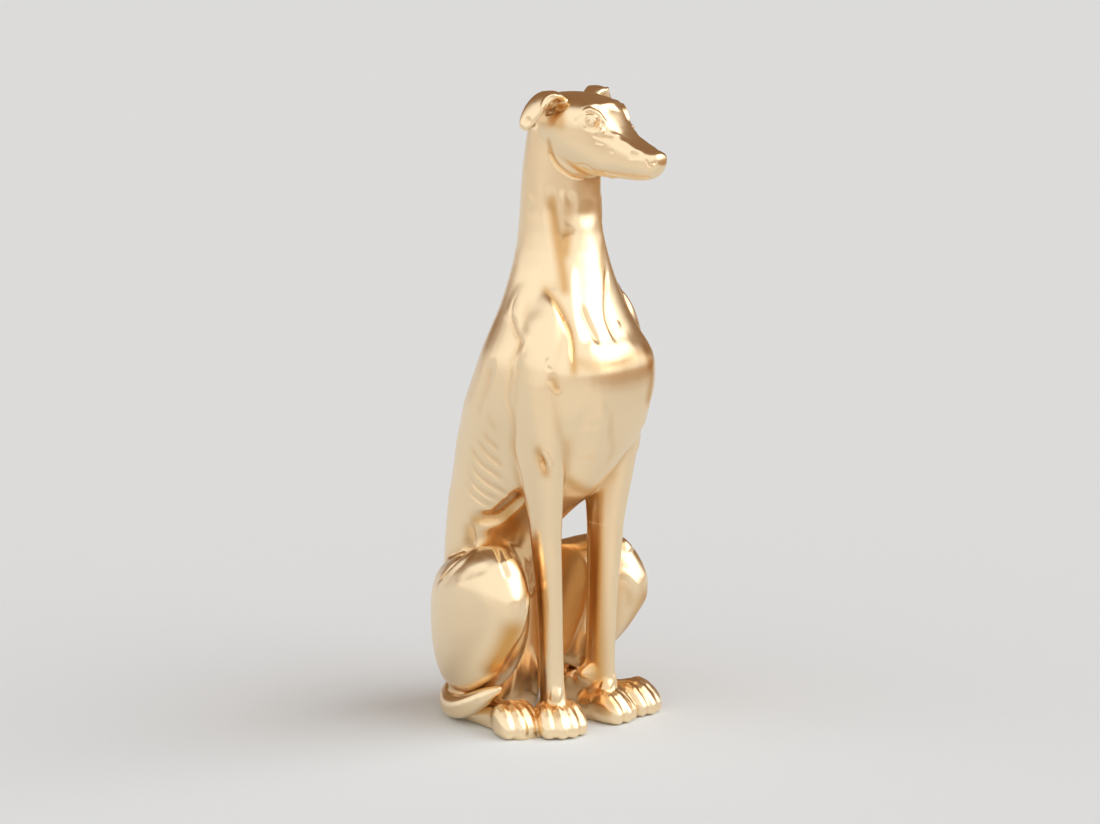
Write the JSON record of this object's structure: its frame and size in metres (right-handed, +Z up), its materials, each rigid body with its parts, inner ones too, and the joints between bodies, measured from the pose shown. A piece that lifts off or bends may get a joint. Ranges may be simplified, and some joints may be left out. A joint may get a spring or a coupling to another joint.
{
  "type": "dog figurine",
  "caption": "Seated greyhound ornament in gilded cast resin, cast in sections that are bonded over hidden dowels, flat underneath.",
  "frame": {"origin": "on the surface that the dog sits on, in the symmetry plane of its body, under the middle of the seat and inside the rim of the felt disc", "axes": "the dog faces -Y, +Z is up, +X is the dog's left side"},
  "size_m": [0.1396, 0.1684, 0.3948],
  "materials": {
    "gilded_resin": "satin champagne-gold metallic paint on cast polyresin",
    "dowel_steel": "plain ground rod",
    "plug_rubber": "matt",
    "felt": "pressed wool felt"
  },
  "bodies": {
    "root": {"trunk": "gilded_resin", "head": "gilded_resin", "right_ear": "gilded_resin", "left_ear": "gilded_resin", "right_foreleg": "gilded_resin", "left_foreleg": "gilded_resin", "right_haunch": "gilded_resin", "left_haunch": "gilded_resin", "right_hind_foot": "gilded_resin", "left_hind_foot": "gilded_resin", "tail": "gilded_resin", "neck_dowel": "dowel_steel", "foreleg_dowels": "dowel_steel", "haunch_dowels": "dowel_steel", "hock_dowels": "dowel_steel", "ear_pins": "dowel_steel", "filler_plug": "plug_rubber", "felt_disc": "felt"}
  },
  "joints": []
}
